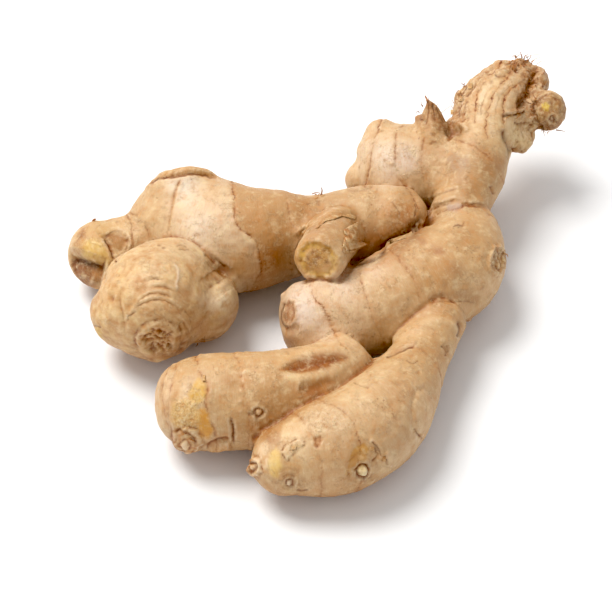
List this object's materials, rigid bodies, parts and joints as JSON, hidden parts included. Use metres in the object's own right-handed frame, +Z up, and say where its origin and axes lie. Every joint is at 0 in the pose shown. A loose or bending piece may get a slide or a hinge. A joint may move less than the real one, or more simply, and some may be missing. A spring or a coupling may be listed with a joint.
{
  "type": "ginger root",
  "caption": "Whole fresh ginger root: a flat-lying hand of fat fingers and lobes with a raised ringed head, one solid piece.",
  "frame": {"origin": "middle of the root's outline, on the surface it lies on", "axes": "+Z up from that surface; +X towards the raised ringed head, -Y towards the two lower fingers"},
  "size_m": [0.1804, 0.1782, 0.0485],
  "materials": {
    "ginger_skin": "thin matt tan skin with pale young areas, darker ring scars and a few yellow flesh patches"
  },
  "bodies": {
    "root": {"ginger_root": "ginger_skin"}
  },
  "joints": []
}
